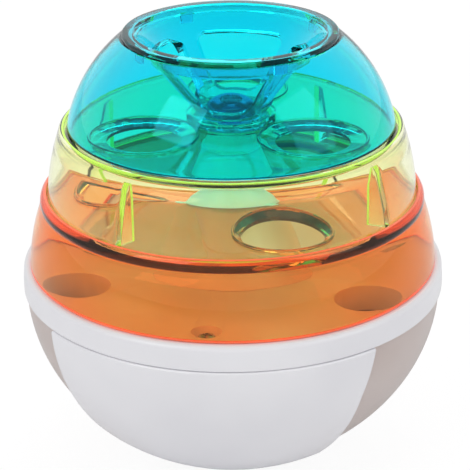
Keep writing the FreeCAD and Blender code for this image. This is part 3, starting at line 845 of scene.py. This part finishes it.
def make_yellow_ring():
    foot = (yellow_foot, yellow_low)
    shoulder = (yellow_shoulder, yellow_top - yellow_round)
    seat_r = dome_foot + dome_seat
    low = yellow_top - plate
    outline = arc(foot, shoulder, yellow_bulge, count=12)
    outline += arc(shoulder, (yellow_shoulder - yellow_round, yellow_top), yellow_crown, count=6)
    outline += [(seat_r, yellow_top), (seat_r, low), (seat_r - ledge, low),
                (seat_r - ledge, low - tier_ledge_h)]
    outline += line((yellow_shoulder - yellow_wall, low - tier_ledge_drop),
                    (yellow_foot - yellow_wall, yellow_low), count=8)
    ring = lathe("yellow_wall_ring", outline)
    rib_in = yellow_shoulder - yellow_wall - rib_depth
    rib_low = yellow_low + rim_h + gap
    rib_high = low - rib_below_deck
    for azimuth in around(rib_az, 4):
        rib = cube("rib")
        for vertex in rib.data.vertices:
            high = vertex.co.z > 0
            reach = rib_in
            if vertex.co.y < 0:
                reach = yellow_shoulder - rib_sink if high else yellow_foot - rib_sink
            vertex.co = (math.copysign(rib_thick / 2, vertex.co.x), -reach, rib_high if high else rib_low)
        add(ring, turned(rib, azimuth))
    round_edges(ring, ring_soften)
    install(ring, "yellow_tier", "yellow_ring", yellow_clear)

    # Painted glow on the faces at the top and foot of the wall and on the inner faces of the ribs
    def gets_painted_glow(r, z):
        if z < yellow_low + yellow_glow_foot or z > yellow_top - yellow_glow_top:
            return True
        return r < rib_in + rib_glow and z < rib_high

    put_painted_glow(ring, yellow_painted_glow, gets_painted_glow)
    return ring


def make_yellow_deck():
    deck = dished_plate("yellow_floor", dome_foot + dome_seat - seat, yellow_top, yellow_hole_az,
                        yellow_hole_pitch, yellow_hole_r, yellow_dish)
    high = yellow_top + collar_h
    inside = collar_r - collar_wall
    collar = lathe("collar", rectangle(inside, collar_r, yellow_top - rim_sink, high))
    section = rectangle(inside - lug_reach, inside + lug_sink, high - lug_h, high)
    for azimuth in around(strut_az + 45, 4):
        add(collar, sweep("lug", section, azimuth, lug_half))
    for azimuth in around(yellow_hole_az, 3):
        cut(collar, drill("clear", azimuth, yellow_hole_pitch, yellow_hole_r + yellow_dish + rim,
                          yellow_top - over, high + over, fine_steps))
    add(deck, collar)
    round_edges(deck, plate_soften)
    return install(deck, "yellow_tier", "yellow_deck", yellow_clear)


# Blue dome

def make_dome():
    outer = arc((dome_foot, dome_low), (dome_rim, dome_top), dome_bulge, count=24)
    inner = arc((dome_foot - dome_wall, dome_low), (dome_rim - dome_top_wall, dome_top), dome_bulge, count=24)
    dome = lathe("blue_dome", outer + inner[::-1])
    round_edges(dome, dome_soften)
    return install(dome, "dome", "dome_shell", blue_clear)


def funnel_radius(z):
    low = dome_low + funnel_tube
    high = lip_top - lip_chamfer
    return funnel_foot + (lip_in - funnel_foot) * (z - low) / (high - low)


def make_funnel():
    tube_in = button_r + button_play
    low = dome_low + funnel_tube
    neck = dome_rim - dome_top_wall - seat
    under = dome_top - funnel_wall
    lip_edge = lip_top - lip_chamfer
    flange_r = funnel_foot + flange
    outline = [(tube_in, dome_low), (flange_r, dome_low), (flange_r, dome_low + flange_h),
               (funnel_foot, dome_low + flange_h)]
    outline += line((funnel_foot + funnel_lean, low - funnel_skirt), (lip_in + funnel_wall / 2, under),
                    count=12)
    outline += [(neck, under), (neck, dome_top), (lip_r, dome_top), (lip_r, lip_edge),
                (lip_r - lip_chamfer, lip_top), (lip_in + lip_land, lip_top)]
    outline += line((lip_in, lip_edge), (tube_in + funnel_mouth, low), count=12)
    outline += [(tube_in, low)]
    funnel = lathe("blue_funnel", outline)
    for azimuth in around(strut_az + 45, 4):
        cut(funnel, funnel_window(azimuth))
    for azimuth in around(strut_az, 4):
        add(funnel, sweep("catch", rectangle(lip_in + catch_in, neck, under - catch_h, under + sink),
                          azimuth, catch_half))
    round_edges(funnel, dome_soften)
    return install(funnel, "dome", "funnel", blue_clear)


def funnel_window(azimuth):
    """Cutter for a window between two struts, with rounded corners."""
    low = dome_low + funnel_tube + window_up
    high = lip_top - window_drop
    block = cube("funnel_window")
    for vertex in block.data.vertices:
        z = high if vertex.co.z > 0 else low
        half = funnel_radius(z) * math.sin(math.radians(45)) - strut_w / 2
        vertex.co = (math.copysign(half, vertex.co.x), 0 if vertex.co.y > 0 else -lip_r, z)
    take(block)
    bpy.ops.object.mode_set(mode="EDIT")
    bpy.ops.mesh.select_mode(type="EDGE")
    bpy.ops.mesh.select_all(action="DESELECT")
    bpy.ops.object.mode_set(mode="OBJECT")
    for edge in block.data.edges:
        ends = [block.data.vertices[v].co for v in edge.vertices]
        edge.select = abs(abs(ends[0].y - ends[1].y) - lip_r) < 0.1 * mm
    bpy.ops.object.mode_set(mode="EDIT")
    bpy.ops.mesh.bevel(offset=window_round, segments=8, affect="EDGES")
    bpy.ops.object.mode_set(mode="OBJECT")
    return turned(block, azimuth)


def make_button():
    inner = button_r - button_wall
    socket = stem_low + rod_socket
    under = [(0, socket), (rod_r, socket), (rod_r, stem_low), (stem_r, stem_low),
             (stem_r, button_roof + button_roof_slope)]
    outline = [(inner, button_roof - button_roof_slope), (inner, button_skirt), (button_r, button_skirt)]
    outline += arc((button_r, button_roof), (button_tip, button_top), button_crown)
    outline += [(0, button_top)]
    button = lathe("button_cap", under + outline, closed=False, count=fine_steps)
    round_edges(button, ring_soften)
    return install(button, "button", "push_button", button_blue)


def make_spring():
    """The frame's coil, copied and shaded smooth. In the dispenser it shortens towards the spindle's shoulder
    as the button goes down; here it keeps the frame's length and stays with the base.
    """
    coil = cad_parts["button_spring"]
    spring = coil.copy()
    spring.data = coil.data.copy()
    spring.name = "return_spring"
    bpy.context.scene.collection.objects.link(spring)
    take(spring)
    bpy.ops.object.mode_set(mode="EDIT")
    bpy.ops.mesh.select_all(action="SELECT")
    bpy.ops.mesh.remove_doubles(threshold=same_point)
    bpy.ops.object.mode_set(mode="OBJECT")
    bpy.ops.object.shade_smooth_by_angle(angle=math.radians(40))
    install(spring, "base", "button_spring", rod_steel)
    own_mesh(spring)
    return spring


def dress_frame_nodes():
    """Finishes for the inner pieces, which the frame's own solids show."""
    finishes = {
        "foot_ring": foot_rubber, "ballast_weight": weight_iron, "ballast_cap": grey_plastic,
        "cap_screws": screw_steel, "spindle_screws": screw_steel, "spindle": grey_plastic,
        "spindle_nut": grey_plastic, "drum_washer": bearing_plastic, "lower_washer": bearing_plastic,
        "upper_washer": bearing_plastic, "cam_sleeve": bearing_plastic, "push_rod": rod_steel,
        "cam_pin": rod_steel}
    for name, material in finishes.items():
        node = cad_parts[name]
        for place in node.material_slots:
            place.material = material


# Floor, light and camera

def make_stage():
    """Pale floor that shines with its own light where the camera sees it, so that it reads as white."""
    deselect()
    bpy.ops.mesh.primitive_plane_add(size=6, location=(0, 0, 0))
    floor = bpy.context.object
    floor.name = "floor"
    material, tree, shader = new_material("pale_floor")
    shader.inputs["Base Color"].default_value = (0.92, 0.92, 0.93, 1)
    shader.inputs["Roughness"].default_value = 0.8
    path = tree.nodes.new("ShaderNodeLightPath")
    bright = tree.nodes.new("ShaderNodeEmission")
    bright.inputs["Strength"].default_value = floor_glow
    share = tree.nodes.new("ShaderNodeMath")
    share.operation = "MULTIPLY"
    share.inputs[1].default_value = floor_glow_share
    seen = larger(tree, path.outputs["Is Camera Ray"], path.outputs["Is Transmission Ray"])
    tree.links.new(seen, share.inputs[0])
    tree.links.new(share.outputs["Value"], show_mix(tree, shader.outputs["BSDF"], bright.outputs["Emission"]))
    floor.data.materials.append(material)


def make_world():
    """White surroundings, dimmer as a light than as what is seen, mirrored or looked through."""
    world = bpy.data.worlds.new("studio")
    bpy.context.scene.world = world
    world.use_nodes = True
    tree = world.node_tree
    background = tree.nodes["Background"]
    path = tree.nodes.new("ShaderNodeLightPath")
    level = tree.nodes.new("ShaderNodeMapRange")
    level.inputs["To Min"].default_value = 0.6
    level.inputs["To Max"].default_value = 1.0
    seen = larger(tree, path.outputs["Is Camera Ray"], path.outputs["Is Glossy Ray"])
    tree.links.new(larger(tree, seen, path.outputs["Is Transmission Ray"]), level.inputs["Value"])
    tree.links.new(level.outputs["Result"], background.inputs["Strength"])
    background.inputs["Color"].default_value = (1, 1, 1, 1)


def soft_box(name, place, size, power):
    light = bpy.data.lights.new(name, "AREA")
    light.shape = "RECTANGLE"
    light.size = size[0]
    light.size_y = size[1]
    light.energy = power
    lamp = bpy.data.objects.new(name, light)
    bpy.context.scene.collection.objects.link(lamp)
    lamp.location = place
    aim = Vector(light_aim) - Vector(place)
    lamp.rotation_euler = aim.to_track_quat("-Z", "Y").to_euler()


def make_camera():
    data = bpy.data.cameras.new("photo_camera")
    data.lens = camera_lens
    data.sensor_width = 36
    data.shift_x = camera_shift
    data.clip_start = 0.01
    camera = bpy.data.objects.new("photo_camera", data)
    bpy.context.scene.collection.objects.link(camera)
    camera.location = (0, -camera_back, camera_high)
    camera.rotation_mode = "XYZ"
    camera.rotation_euler = (math.radians(90 - camera_down), 0, 0)
    roll = Matrix.Rotation(math.radians(camera_roll), 3, Vector((0, 0, 1)))
    turn = camera.rotation_euler.to_matrix() @ roll
    camera.rotation_euler = turn.to_euler()
    bpy.context.scene.camera = camera


make_bowl()
make_band()
make_deck()
make_deck_cone()
make_deck_screws()
make_drum()
make_orange_ring()
make_orange_deck()
make_upper_cone()
make_yellow_ring()
make_yellow_deck()
make_dome()
make_funnel()
make_button()
make_spring()
dress_frame_nodes()

make_stage()
make_world()
soft_box("key", place=(-0.55, -0.55, 0.75), size=(0.5, 0.5), power=2.4)
soft_box("fill", place=(0.65, -0.35, 0.55), size=(0.45, 0.6), power=1.2)
soft_box("back", place=(0.1, 0.7, 0.8), size=(0.8, 0.4), power=1.6)
make_camera()
bpy.context.scene.view_settings.view_transform = "Standard"
